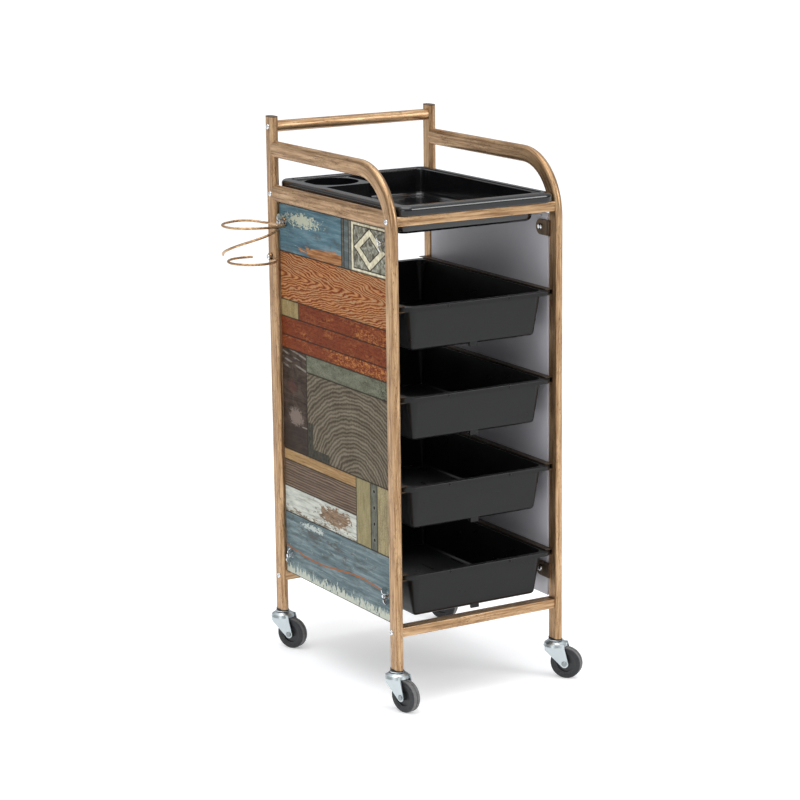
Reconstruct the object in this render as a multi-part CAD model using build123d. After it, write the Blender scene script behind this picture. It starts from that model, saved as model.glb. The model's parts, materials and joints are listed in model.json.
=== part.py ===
from build123d import *
from math import cos, radians, sin, tan
import os

# Rolling salon trolley.  Millimetres, +Z up, -Y is the open front the drawers
# come out of, -X the side that carries the hair-dryer holder.  Everything is
# drawn about the middle of the frame and moved at the very end, so that the
# origin is the bottom centre of the whole trolley's box.

# ------------------------------------------------------------ driving sizes
post_pitch_x = 290.0  # between post axes, left to right
post_pitch_y = 370.0  # between post axes, front to rear
rear_post_top_z = 873.0
hand_rail_drop = 51.5  # axis of the two arms, below the rear posts' tops
bend_radius = 88.0  # of the hoop's centre line
tube_width = 13.0  # flat-oval tube, across the flats
tube_depth = 26.0  # flat-oval tube, in the plane of the side frame
tube_wall = 1.2
cap_thickness = 1.5

side_rail_drop = 69.5  # below the arms' axis
cross_depth = 20.0  # rectangular cross rails
cross_height = 15.0
cross_wall = 1.5
cross_corner = 1.5
cross_setback = 3.0  # of the cross rails' axis, inward from the post axis
upper_cross_drop = 1.5  # below the side rails' axis
lower_cross_rise = 58.0  # above the tubes' lower ends
rod_diameter = 18.0
rod_wall = 1.5
rod_drop = 16.5  # below the rear posts' tops

screw_diameter = 5.0
screw_head_diameter = 8.5
screw_head_height = 2.6
screw_clearance = 0.25  # radial, in drilled sheet and tube walls
thread_clearance = 0.05  # radial, in the threads drawn as plain holes
insert_length = 16.0

panel_thickness = 3.0
panel_gap = 0.5  # to the posts and the side rail
panel_face_gap = 0.5  # of a panel's inner face, outward of the posts' inner faces
panel_bottom_rise = 9.0  # above the lower cross rails' axis
tab_thickness = 2.0
tab_radius = 12.0
tab_reach = 18.0  # from the post's edge to the bolt
bolt_drops = (37.0, 43.0)  # upper bolts below the side rail's axis: front, rear
bolt_rises = (41.0, 31.0)  # lower bolts above the panel's lower edge: front, rear
bolt_head_diameter = 10.0
bolt_head_height = 3.0
nut_height = 6.0
nut_diameter = 9.0
wing_span = 13.0
wing_rise = 4.0
wing_thickness = 2.0
peep_hole_diameter = 3.0
peep_hole_rise = 18.0  # above the upper front bolt

slide_height = 10.0
slide_depth = 14.0
slide_sheet = 1.2
slide_overlap = 2.0  # of a slide past the post axis, each end

drawer_count = 4
drawer_top_drop = 128.5  # uppermost drawer's rim below the upper cross rails' axis
drawer_low_rise = 87.5  # lowest drawer's rim above the lower cross rails' axis
drawer_height = 70.0
drawer_wall = 2.2
drawer_floor = 2.4
drawer_draft = 9.5  # degrees
drawer_front_proud = 11.0  # of the front rim, ahead of the post axis
drawer_rear_short = 5.0  # of the rear rim, from the rear post axis
drawer_side_gap = 1.3  # flange edge to slide web
drawer_run_gap = 0.3  # flange edge above the slide's lower leaf
drawer_top_gap = 0.5
rim_corner = 20.0
rim_plate = 2.4
body_slide_gap = 3.3  # outside of the body to the slide's lips
body_inset_front = 8.0
body_inset_rear = 14.0
body_corner = 14.0
pip_spacing = 108.0
rib_inset = 21.2  # of the outer floor rib, from the body's side
rib_spacing = 57.0
pip_diameter = 4.0
tab_half = 7.0  # half width of the small tab under a drawer's front
tab_depth = 4.0
tab_drop = 4.0
drawer_travel = 250.0

tray_side_gap = 2.5  # to the side frames
tray_front_proud = 8.0  # ahead of the front cross rail
tray_rear_lap = 15.0  # onto the rear cross rail
tray_top_rise = 22.5  # above the upper cross rails' axis
tray_seat_gap = 0.3  # above the cross rails it lies on
tray_wall = 2.5
tray_corner = 18.0
bead_width = 14.0
bead_rise = 3.0
well_floor_drop = 44.0  # below the tray's top
well_draft = 4.0
well_corner = 16.0
well_rail_gap = 2.5  # outside of the well to the cross rails
well_margin = 16.0  # tray edge to the well, left and right
cup_step_gap = 5.0  # cup's edge to the well's rear part
cup_edge_gap = 5.0  # cup's edge to the line of the well's left side
cup_rail_gap = 1.0
cup_well_web = 3.5  # between the cup's wall and the well's
cup_diameter = 86.0
cup_depth = 44.0

wire_diameter = 4.0
spiral_reach = 63.0  # of its centre from the panel
spiral_forward = 4.0  # of its centre from the bolt it hangs on
spiral_radius = 44.0
spiral_below_bolt = 2.0
spiral_tip_drop = 44.0
ring_reach = 43.0  # of its centre from the post
ring_forward = 19.0
eye_gap = 0.15  # wire eye to what it is clamped against
ring_radius = 38.5
ring_drop = 103.0  # below the side rails' axis

wheel_diameter = 50.0
caster_rise = 14.0  # tubes' lower ends above the wheels' tops
tyre_width = 15.0
tyre_section = 7.5
trail = 18.5  # axle behind the swivel axis
fork_gap = 21.0  # between the legs
fork_sheet = 1.6
dome_diameter = 38.0
fork_foot_radius = 6.5
axle_diameter = 5.0
stem_diameter = 8.0
sleeve_collar = 2.2
sleeve_depth = 32.0
swivel_gap = 0.3
side_play = 0.4
running_gap = 0.05

# name: side in X, side in Y, direction the wheel trails at rest, degrees from +X
corners = {
    "front_left": (-1, -1, -76.0),
    "front_right": (1, -1, -52.0),
    "rear_left": (-1, 1, -62.0),
    "rear_right": (1, 1, -58.0),
}
sides = {"left": -1, "right": 1}

# ------------------------------------------------------------ derived places
foot_z = wheel_diameter + caster_rise  # lower end of the four tubes
hand_rail_z = rear_post_top_z - hand_rail_drop
side_rail_z = hand_rail_z - side_rail_drop
upper_cross_z = side_rail_z - upper_cross_drop
lower_cross_z = foot_z + lower_cross_rise
rod_z = rear_post_top_z - rod_drop
panel_bottom_z = lower_cross_z + panel_bottom_rise
bolt_z_front = (side_rail_z - bolt_drops[0], panel_bottom_z + bolt_rises[0])
bolt_z_rear = (side_rail_z - bolt_drops[1], panel_bottom_z + bolt_rises[1])
drawer_top_z = upper_cross_z - drawer_top_drop
drawer_low_z = lower_cross_z + drawer_low_rise
drawer_pitch = (drawer_top_z - drawer_low_z) / (drawer_count - 1)
tray_top_z = upper_cross_z + tray_top_rise
well_floor_z = tray_top_z - well_floor_drop
ring_z = side_rail_z - ring_drop
post_x = post_pitch_x / 2
post_y = post_pitch_y / 2
post_edge_y = post_y - tube_depth / 2  # inner edge of a post, front or rear
inner_face_x = post_x - tube_width / 2
outer_face_x = post_x + tube_width / 2
cross_y = post_y - cross_setback
bolt_y = post_edge_y - tab_reach
panel_inner_x = inner_face_x + panel_face_gap
panel_outer_x = panel_inner_x + panel_thickness
web_inner_x = inner_face_x - slide_sheet
drawer_half = web_inner_x - drawer_side_gap
body_half = inner_face_x - slide_depth - body_slide_gap
drawer_front_y = -(post_y + drawer_front_proud)
drawer_rear_y = post_y - drawer_rear_short
slide_length = post_pitch_y + 2 * slide_overlap
tray_seat_z = upper_cross_z + cross_height / 2 + tray_seat_gap
deck_z = tray_top_z - bead_rise
tray_width = 2 * (inner_face_x - tray_side_gap)
cross_inner_y = cross_y - cross_depth / 2
tray_front_y = -(cross_y + cross_depth / 2 + tray_front_proud)
tray_rear_y = cross_inner_y + tray_rear_lap
well_half_y = cross_inner_y - well_rail_gap - tray_wall
cup_y = cross_inner_y - cup_rail_gap - tray_wall - cup_diameter / 2
well_step_y = cup_y - cup_diameter / 2 - 2 * tray_wall - cup_well_web
well_edge_x = tray_width / 2 - well_margin
cup_x = -(well_edge_x - cup_edge_gap - cup_diameter / 2)
well_step_x = cup_x + cup_diameter / 2 + cup_step_gap  # where the well's rear part starts
spiral_center = (-(panel_outer_x + spiral_reach), bolt_y - spiral_forward)
spiral_z = bolt_z_rear[0] - spiral_below_bolt
ring_center = (-(outer_face_x + ring_reach), post_y - ring_forward)
axle_z = wheel_diameter / 2
wire_radius = wire_diameter / 2
eye_radius = screw_diameter / 2 + wire_radius + 0.3
swivel_top_z = foot_z - sleeve_collar - 1.5


def box(x0, x1, y0, y1, z0, z1):
    """A box from its six faces."""
    middle = ((x0 + x1) / 2, (y0 + y1) / 2, (z0 + z1) / 2)
    return Pos(*middle) * Box(abs(x1 - x0), abs(y1 - y0), abs(z1 - z0))


def rod_x(diameter, x0, x1, y, z):
    """A cylinder along X."""
    bar = Cylinder(diameter / 2, abs(x1 - x0))
    return Pos((x0 + x1) / 2, y, z) * Rot(0, 90, 0) * bar


def slab(plane, sketch, amount):
    """A sketch laid on a plane and extruded along its normal."""
    return extrude(plane * sketch, amount)


# ------------------------------------------------------------ side frames
def oval(shrink=0.0):
    """The flat-oval section, long side along the sketch's X."""
    return SlotOverall(tube_depth - 2 * shrink, tube_width - 2 * shrink)


def hoop_bar(side, shrink=0.0):
    """Front post, bend and hand rail swept in one go, up to the rear post's axis."""
    x = side * post_x
    rise_end = (x, -post_y, hand_rail_z - bend_radius)
    knee = (
        x,
        -post_y + bend_radius * (1 - cos(radians(45))),
        hand_rail_z - bend_radius * (1 - sin(radians(45))),
    )
    run_start = (x, -post_y + bend_radius, hand_rail_z)
    path = Line((x, -post_y, foot_z), rise_end)
    path += ThreePointArc(rise_end, knee, run_start)
    path += Line(run_start, (x, post_y, hand_rail_z))
    start = Plane(origin=(x, -post_y, foot_z), x_dir=(0, 1, 0), z_dir=(0, 0, 1))
    return sweep(start * oval(shrink), path=path)


def rear_bar(side, shrink=0.0):
    start = Plane(
        origin=(side * post_x, post_y, foot_z), x_dir=(0, 1, 0), z_dir=(0, 0, 1)
    )
    return slab(start, oval(shrink), rear_post_top_z - cap_thickness - foot_z)


def side_bar(side, shrink=0.0):
    start = Plane(
        origin=(side * post_x, -post_y, side_rail_z), x_dir=(0, 0, 1), z_dir=(0, 1, 0)
    )
    return slab(start, oval(shrink), post_pitch_y)


def cross_bar(y, z):
    """A rectangular rail from post axis to post axis, still uncut at its ends."""
    middle = Plane(origin=(-post_x, y, z), x_dir=(0, 1, 0), z_dir=(1, 0, 0))
    outer = RectangleRounded(cross_depth, cross_height, cross_corner)
    bore = Rectangle(cross_depth - 2 * cross_wall, cross_height - 2 * cross_wall)
    return slab(middle, outer, post_pitch_x) - slab(middle, bore, post_pitch_x)


# where a cross member is screwed through the posts: (y, z)
rails = {
    "front_upper_rail": (-cross_y, upper_cross_z),
    "front_lower_rail": (-cross_y, lower_cross_z),
    "rear_upper_rail": (cross_y, upper_cross_z),
    "rear_lower_rail": (cross_y, lower_cross_z),
}
screw_points = list(rails.values()) + [(post_y, rod_z)]

nodes = {}
screw_hole = screw_diameter + 2 * screw_clearance
thread_hole = screw_diameter + 2 * thread_clearance
envelope = {}
for name, side in sides.items():
    hoop = hoop_bar(side)
    post = rear_bar(side)
    envelope[name] = hoop + post
    holes = [
        rod_x(screw_hole, side * (inner_face_x - 5), side * (outer_face_x + 5), y, z)
        for y, z in screw_points
    ]
    ring_hole = rod_x(screw_hole, -outer_face_x - 5, -post_x, post_y, ring_z)
    nodes[name + "_hoop_tube"] = hoop - hoop_bar(side, tube_wall) - post - holes
    hollow_post = post - rear_bar(side, tube_wall) - holes
    if name == "left":
        hollow_post -= ring_hole
    nodes[name + "_rear_post"] = hollow_post
    hollow_rail = side_bar(side) - side_bar(side, tube_wall)
    nodes[name + "_side_rail"] = hollow_rail - envelope[name]

frames = envelope["left"] + envelope["right"] + side_bar(-1) + side_bar(1)
cap_plane = Plane(
    origin=(0, post_y, rear_post_top_z - cap_thickness),
    x_dir=(0, 1, 0),
    z_dir=(0, 0, 1),
)
nodes["post_caps"] = [
    Pos(side * post_x, 0, 0) * slab(cap_plane, oval(), cap_thickness)
    for side in sides.values()
]

# ------------------------------------------------------------ cross members
inserts = []
for name, (y, z) in rails.items():
    nodes[name] = cross_bar(y, z) - frames
    for side in sides.values():
        end_x = side * inner_face_x
        block = box(
            end_x,
            end_x - side * insert_length,
            y - cross_depth / 2 + cross_wall,
            y + cross_depth / 2 - cross_wall,
            z - cross_height / 2 + cross_wall,
            z + cross_height / 2 - cross_wall,
        )
        inserts.append(block - rod_x(thread_hole, -post_x, post_x, y, z))

rod = rod_x(rod_diameter, -post_x, post_x, post_y, rod_z)
rod_bore = rod_diameter - 2 * rod_wall
rod -= rod_x(rod_bore, -post_x, post_x, post_y, rod_z)
nodes["rear_top_rod"] = rod - frames
for side in sides.values():
    end_x = side * inner_face_x
    plug = rod_x(rod_bore, end_x, end_x - side * insert_length, post_y, rod_z)
    inserts.append(plug - rod_x(thread_hole, -post_x, post_x, post_y, rod_z))
nodes["thread_inserts"] = inserts


def pan_screw(length):
    """A pan-head screw along +X, its head's underside at the origin."""
    head = Rot(0, -90, 0) * Pos(0, 0, screw_head_height / 2) * Cylinder(
        screw_head_diameter / 2, screw_head_height
    )
    head = fillet(head.edges().sort_by(Axis.X)[0], screw_head_height * 0.7)
    slot = box(-screw_head_height, -screw_head_height + 1.2, -0.5, 0.5, -2.2, 2.2)
    cross = slot + Rot(90, 0, 0) * slot
    return head - cross + rod_x(screw_diameter, 0, length, 0, 0)


frame_screw = pan_screw(tube_width + insert_length - 3)
nodes["frame_screws"] = [
    Pos(side * outer_face_x, y, z) * Rot(0, 0, 90 + 90 * side) * frame_screw
    for side in sides.values()
    for y, z in screw_points
]

# ------------------------------------------------------------ side panels
panel_top_z = side_rail_z - tube_depth / 2 - panel_gap - 1.0
panel_half_y = post_edge_y - panel_gap
bolt_places = [
    (row, end * bolt_y, heights[row])
    for end, heights in ((-1, bolt_z_front), (1, bolt_z_rear))
    for row in (0, 1)
]
bolt_hole = screw_diameter + 2 * screw_clearance
tabs, bolts, nuts = [], [], []


def panel_bolt(grip):
    """A dome-head bolt along +X, its head's underside at the origin."""
    head = Rot(0, -90, 0) * Pos(0, 0, bolt_head_height / 2) * Cylinder(
        bolt_head_diameter / 2, bolt_head_height
    )
    head = fillet(head.edges().sort_by(Axis.X)[0], bolt_head_height * 0.8)
    return head + rod_x(screw_diameter, 0, grip, 0, 0)


def wing_nut():
    """A wing nut whose seat is at the origin and which points along +X."""
    hub = Pos(nut_height / 2, 0, 0) * Rot(0, 90, 0) * Cone(
        nut_diameter / 2, nut_diameter / 2 - 1.0, nut_height
    )
    petal = Plane.XZ * Pos(wing_rise, wing_span * 0.58) * Ellipse(
        wing_span * 0.42, wing_span * 0.47
    )
    petal = Pos(0, wing_thickness / 2, 0) * extrude(petal, wing_thickness)
    wings = petal + mirror(petal, Plane.XY)
    wings -= box(-20, 0.6, -5, 5, -30, 30)
    wings -= rod_x(screw_diameter + 2, -1, 20, 0, 0)
    bore = rod_x(screw_diameter + 2 * thread_clearance, -1, 20, 0, 0)
    return hub + wings - bore


spare_grip = 3.0
for name, side in sides.items():
    panel = box(
        side * panel_inner_x,
        side * panel_outer_x,
        -panel_half_y,
        panel_half_y,
        panel_bottom_z,
        panel_top_z,
    )
    for row, y, z in bolt_places:
        drill = rod_x(bolt_hole, side * 130, side * 150, y, z)
        panel -= drill
        end = 1 if y > 0 else -1
        tab_plane = Plane(
            origin=(side * (panel_inner_x - tab_thickness), y, z),
            x_dir=(0, end, 0),
            z_dir=(side, 0, 0),
        )
        outline = Circle(tab_radius)
        outline += Pos(15, 0) * Rectangle(30, 2 * tab_radius)
        tab = slab(tab_plane, outline, tab_thickness)
        tab &= box(-200, 200, -post_y + 6, post_y - 6, 0, rear_post_top_z)
        tabs.append(tab - envelope[name] - drill)
        holds_wire = side < 0 and end > 0 and row == 0
        packing = wire_diameter + 2 * eye_gap if holds_wire else 0.0
        grip = tab_thickness + panel_thickness + packing + nut_height + spare_grip
        turn = Rot(0, 0, 90 - 90 * side)
        seat = Pos(side * (panel_inner_x - tab_thickness), y, z) * turn
        bolts.append(seat * panel_bolt(grip))
        lean = 0 if holds_wire else 20 * end * side
        nuts.append(
            Pos(side * (panel_outer_x + packing), y, z)
            * turn
            * Rot(lean, 0, 0)
            * wing_nut()
        )
    if side > 0:
        panel -= rod_x(
            peep_hole_diameter, 130, 150, -bolt_y, bolt_z_front[0] + peep_hole_rise
        )
    nodes[name + "_panel"] = panel
nodes["panel_tabs"] = tabs
nodes["panel_bolts"] = bolts
nodes["wing_nuts"] = nuts


# ------------------------------------------------------------ drawers
flange_height = slide_height - 2 * slide_sheet - drawer_run_gap - drawer_top_gap


def slide(side, rim_z):
    """One C-channel, open towards the drawer."""
    bottom = rim_z - flange_height - drawer_run_gap - slide_sheet
    outer = box(
        side * inner_face_x,
        side * (inner_face_x - slide_depth),
        -slide_length / 2,
        slide_length / 2,
        bottom,
        bottom + slide_height,
    )
    outer = fillet(
        [e for e in outer.edges().filter_by(Axis.Y)
         if abs(e.center().X) > inner_face_x - 1],
        2.5,
    )
    bore = box(
        side * web_inner_x,
        side * (inner_face_x - slide_depth - 1),
        -slide_length,
        slide_length,
        bottom + slide_sheet,
        bottom + slide_height - slide_sheet,
    )
    return outer - bore


def drafted_block(x0, x1, y0, y1, top, bottom, draft, corner, foot_fillet):
    """A block narrowing downwards, with rounded corners and a rounded foot."""
    plane = Plane(origin=((x0 + x1) / 2, (y0 + y1) / 2, top))
    sketch = plane * RectangleRounded(x1 - x0, y1 - y0, corner)
    block = extrude(sketch, top - bottom, dir=(0, 0, -1), taper=draft)
    low = block.edges().group_by(Axis.Z)[0]
    return fillet(low, foot_fillet)


def drawer(rim_z):
    """Body, flange with its turned-down edge, two pips and a front tab."""
    floor_z = rim_z - drawer_height
    middle_y = (drawer_front_y + drawer_rear_y) / 2
    length = drawer_rear_y - drawer_front_y
    w = drawer_wall
    x0, x1 = -body_half + w, body_half - w
    y0, y1 = drawer_front_y + body_inset_front, drawer_rear_y - body_inset_rear
    outer = drafted_block(
        x0 - w, x1 + w, y0 - w, y1 + w, rim_z, floor_z, drawer_draft, body_corner + w, 7
    )
    inner = drafted_block(
        x0, x1, y0, y1, rim_z, floor_z + drawer_floor, drawer_draft, body_corner, 5
    )
    rim_plane = Plane(origin=(0, middle_y, rim_z))
    rim = extrude(
        rim_plane * RectangleRounded(2 * drawer_half, length, rim_corner),
        flange_height,
        dir=(0, 0, -1),
    )
    rim = fillet(rim.edges().group_by(Axis.Z)[-1], 1.6)
    under = extrude(
        Plane(origin=(0, middle_y, rim_z - rim_plate))
        * RectangleRounded(
            2 * (drawer_half - rim_plate), length - 2 * rim_plate,
            rim_corner - rim_plate
        ),
        flange_height,
        dir=(0, 0, -1),
    )
    shell = outer + (rim - under) - inner
    front_y = drawer_front_y + 0.3
    for place in (-pip_spacing / 2, pip_spacing / 2):
        pip = Pos(place, front_y, rim_z - 3.2) * Sphere(pip_diameter / 2)
        shell += pip & box(-200, 200, -300, drawer_front_y + 1.2, 0, rear_post_top_z)
    # the tab hanging below the front, in line with the foot of the front wall
    foot_y = y0 - w + drawer_height * tan(radians(drawer_draft))
    shell += box(
        -tab_half, tab_half, foot_y, foot_y + tab_depth, floor_z - tab_drop, floor_z + 9
    )
    # two short ribs on the floor
    rib_x = body_half - rib_inset
    for x in (rib_x - rib_spacing, rib_x):
        shell += box(
            x - 0.8, x + 0.8, 17, 53, floor_z + drawer_floor - 0.5,
            floor_z + drawer_floor + 1.0
        )
    return shell


def drawer_rim_z(number):
    return drawer_top_z - (number - 1) * drawer_pitch


for number in range(1, drawer_count + 1):
    rim_z = drawer_rim_z(number)
    nodes[f"drawer_{number}"] = drawer(rim_z)
    for name, side in sides.items():
        nodes[f"{name}_slide_{number}"] = slide(side, rim_z)


# ------------------------------------------------------------ top tray
def well_block(grow, floor_z, corner, foot_fillet):
    """The L-shaped well, narrowing downwards: full width in front, cut short at the cup."""
    x0, x1 = -well_edge_x - grow, well_edge_x + grow
    y0, y1 = -well_half_y - grow, well_half_y + grow
    step_x, step_y = well_step_x - grow, well_step_y + grow
    outline = Polyline(
        (x0, y0), (x1, y0), (x1, y1), (step_x, y1), (step_x, step_y), (x0, step_y),
        close=True
    )
    face = make_face(outline)
    face = fillet(face.vertices(), corner)
    plane = Plane(origin=(0, 0, deck_z))
    block = extrude(plane * face, deck_z - floor_z, dir=(0, 0, -1), taper=well_draft)
    return fillet(block.edges().group_by(Axis.Z)[0], foot_fillet)


def top_tray():
    """Deck with a rolled bead and a skirt, an L-shaped well and a round cup."""
    middle_y = (tray_front_y + tray_rear_y) / 2
    length = tray_rear_y - tray_front_y

    def plate(inset, top, bottom):
        plane = Plane(origin=(0, middle_y, bottom))
        sketch = RectangleRounded(
            tray_width - 2 * inset, length - 2 * inset, tray_corner - inset * 0.6
        )
        return extrude(plane * sketch, top - bottom)

    body = plate(0, tray_top_z, tray_seat_z)
    body = fillet(body.edges().group_by(Axis.Z)[-1], 6.5)
    body = fillet(body.edges().group_by(Axis.Z)[0], 2.0)
    recess = plate(bead_width, tray_top_z + 5, deck_z)
    recess = fillet(recess.edges().group_by(Axis.Z)[0], 2.5)
    body -= recess
    body -= plate(tray_wall, deck_z - tray_wall, tray_seat_z - 1)
    w = tray_wall
    body += well_block(w, well_floor_z - w, well_corner + w, 9)
    hollow = well_block(0, well_floor_z, well_corner, 6.5)
    cup_bottom = deck_z - cup_depth
    cup_wall = Pos(cup_x, cup_y, (deck_z + cup_bottom - tray_wall) / 2) * Cylinder(
        cup_diameter / 2 + tray_wall, cup_depth + tray_wall
    )
    cup_wall = fillet(cup_wall.edges().group_by(Axis.Z)[0], 4)
    body += cup_wall
    body -= hollow
    body -= Pos(cup_x, cup_y, deck_z + 5 - (cup_depth + 5) / 2) * Cylinder(
        cup_diameter / 2, cup_depth + 5
    )
    return body


nodes["top_tray"] = top_tray()


# ------------------------------------------------------------ hair-dryer holder
def on_circle(center, radius, angle, z):
    x, y = center
    return (x + radius * cos(radians(angle)), y + radius * sin(radians(angle)), z)


def eye_points(x, y, z):
    """A turn of wire round a screw, entered from below going rearwards."""
    return [
        (x, y + eye_radius * sin(radians(a)), z - eye_radius * cos(radians(a)))
        for a in (0, 60, 120, 180, 240)
    ]


def wire(points):
    path = Spline(*points)
    start = Plane(origin=path @ 0, z_dir=path % 0)
    return sweep(start * Circle(wire_radius), path=path, is_frenet=False)


spiral = []
first_turn = ((150, -1.0), (190, -0.72), (230, -0.46), (270, -0.26), (310, -0.1))
for angle, share in first_turn:
    height = spiral_z + share * spiral_tip_drop
    spiral.append(on_circle(spiral_center, spiral_radius, angle, height))
for angle in (350, 390, 430, 470, 510, 550, 590, 625):
    lift = 1.5 if angle < 400 else 4.5
    spiral.append(on_circle(spiral_center, spiral_radius, angle, spiral_z + lift - 1.5))
eye_x = -(panel_outer_x + wire_radius + eye_gap)
nut_z = bolt_z_rear[0]
spiral.append((eye_x - 12, bolt_y - 21, nut_z - eye_radius + 1))
spiral.append((eye_x - 1.5, bolt_y - 8, nut_z - eye_radius))
spiral += eye_points(eye_x, bolt_y, nut_z)
nodes["dryer_spiral"] = wire(spiral)

ring = [
    on_circle(ring_center, ring_radius, angle, ring_z)
    for angle in range(62, 345, 30)
]
ring_eye_x = -(outer_face_x + wire_radius + eye_gap)
ring.append((ring_eye_x - 0.6, post_y - 17, ring_z - eye_radius + 2.2))
ring.append((ring_eye_x, post_y - 7, ring_z - eye_radius))
ring += eye_points(ring_eye_x, post_y, ring_z)
nodes["dryer_ring"] = wire(ring)
nodes["ring_screw"] = (
    Pos(-outer_face_x - wire_diameter - 2 * eye_gap, post_y, ring_z) * pan_screw(10)
)

# ------------------------------------------------------------ casters
sleeves, stems = [], []


def sleeve():
    """Plastic plug in the tube end, with a collar the size of the tube below it."""
    base = Plane(origin=(0, 0, foot_z), x_dir=(0, 1, 0), z_dir=(0, 0, 1))
    plug = slab(base, oval(tube_wall), sleeve_depth)
    plug += extrude(base * oval(-0.8), sleeve_collar, dir=(0, 0, -1))
    bore = Cylinder(stem_diameter / 2, 3 * sleeve_depth)
    return plug - Pos(0, 0, foot_z) * bore


def stem():
    """Stem fixed in the sleeve: flange above the fork's dome, rivet head below."""
    top = foot_z + sleeve_depth - 2
    low = swivel_top_z - 5.5
    rod = Pos(0, 0, (top + low) / 2) * Cylinder(stem_diameter / 2, top - low)
    rod += Pos(0, 0, foot_z - sleeve_collar - 0.75) * Cylinder(11, 1.5)
    return rod + Pos(0, 0, low) * Cylinder(6.5, 2.4)


def fork():
    """Pressed dome and two tapering legs; the wheel trails along +X."""
    top = swivel_top_z - swivel_gap
    reach = dome_diameter / 2
    profile = Polyline(
        (0, top), (reach - 6, top - 0.8), (reach - 1.5, top - 4), (reach, top - 8.5),
        (reach - fork_sheet, top - 8.5), (reach - 2.9, top - 4.8),
        (reach - 6.8, top - 2.6), (0, top - fork_sheet), (0, top), close=True
    )
    dome = revolve(make_face(Plane.XZ * profile), Axis.Z)
    dome -= Pos(0, 0, top) * Cylinder(stem_diameter / 2 + 0.2, 20)
    leg_top = top - 3.4
    leg_shape = make_hull(
        (
            Pos(trail, axle_z) * Circle(fork_foot_radius)
            + Pos(1.5, leg_top - 6) * Rectangle(31, 12)
        ).edges()
    )
    legs = []
    for hand in (-1, 1):
        at = -hand * fork_gap / 2 if hand < 0 else -fork_gap / 2 - fork_sheet
        leg = extrude(Plane.XZ.offset(at) * leg_shape, fork_sheet)
        legs.append(leg)
    frame = dome + legs[0] + legs[1]
    hole = Pos(trail, 0, axle_z) * Rot(90, 0, 0) * Cylinder(axle_diameter / 2, 60)
    return frame - hole


def axle():
    """Rivet through both legs."""
    span = fork_gap + 2 * fork_sheet
    pin = Cylinder(axle_diameter / 2, span)
    for hand in (-1, 1):
        head = Pos(0, 0, hand * (span / 2 + 0.9)) * Cylinder(axle_diameter * 0.85, 1.8)
        pin += head
    pin = chamfer(pin.edges().group_by(Axis.Z)[-1] + pin.edges().group_by(Axis.Z)[0], 0.7)
    return Pos(trail, 0, axle_z) * Rot(90, 0, 0) * pin


def wheel():
    """Core running on the axle, and the tyre round it."""
    rim_radius = wheel_diameter / 2 - tyre_section
    hub_width = fork_gap - 2 * side_play
    core = Cylinder(rim_radius, tyre_width - 2)
    for hand in (-1, 1):
        dish = Pos(0, 0, hand * (tyre_width / 2 - 1)) * Cylinder(rim_radius - 3, 5)
        core -= dish
    core += Cylinder(axle_diameter / 2 + 3.5, hub_width)
    core -= Cylinder(axle_diameter / 2 + running_gap, 60)
    tyre = Cylinder(wheel_diameter / 2, tyre_width)
    tyre = fillet(tyre.edges().filter_by(GeomType.CIRCLE), 3.2)
    tyre -= Cylinder(rim_radius, 60)
    groove = Cylinder(wheel_diameter / 2 + 1, 1.2) - Cylinder(
        wheel_diameter / 2 - 0.6, 1.2
    )
    place = Pos(trail, 0, axle_z) * Rot(90, 0, 0)
    return place * core, place * (tyre - groove)


one_fork, one_axle = fork(), axle()
one_core, one_tyre = wheel()
for name, (sx, sy, heading) in corners.items():
    at = Pos(sx * post_x, sy * post_y, 0)
    sleeves.append(at * sleeve())
    stems.append(at * stem())
    turned = at * Rot(0, 0, heading)
    nodes["fork_" + name] = turned * one_fork
    nodes["axle_" + name] = turned * one_axle
    nodes["wheel_core_" + name] = turned * one_core
    nodes["tyre_" + name] = turned * one_tyre
nodes["caster_sleeves"] = sleeves
nodes["caster_stems"] = stems


# ------------------------------------------------------------ out
def as_shape(item):
    """One compound per node, each separate piece its own solid."""
    pieces = item if isinstance(item, list) else [item]
    solids = [solid for piece in pieces for solid in piece.solids()]
    return solids[0] if len(solids) == 1 else Compound(children=solids)


shapes = {name: as_shape(item) for name, item in nodes.items()}
limits = Compound(children=[solid for s in shapes.values() for solid in s.solids()])
whole = limits.bounding_box()
shift = (-(whole.min.X + whole.max.X) / 2, -(whole.min.Y + whole.max.Y) / 2, -whole.min.Z)

os.makedirs("parts", exist_ok=True)
for name, shape in shapes.items():
    export_step(Pos(*shift) * shape, f"parts/{name}.step")
print("box", whole.size, "moved by", [round(v, 3) for v in shift])
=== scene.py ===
import json
import math

import bpy
from mathutils import Matrix, Vector
from mathutils.geometry import delaunay_2d_cdt

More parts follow.
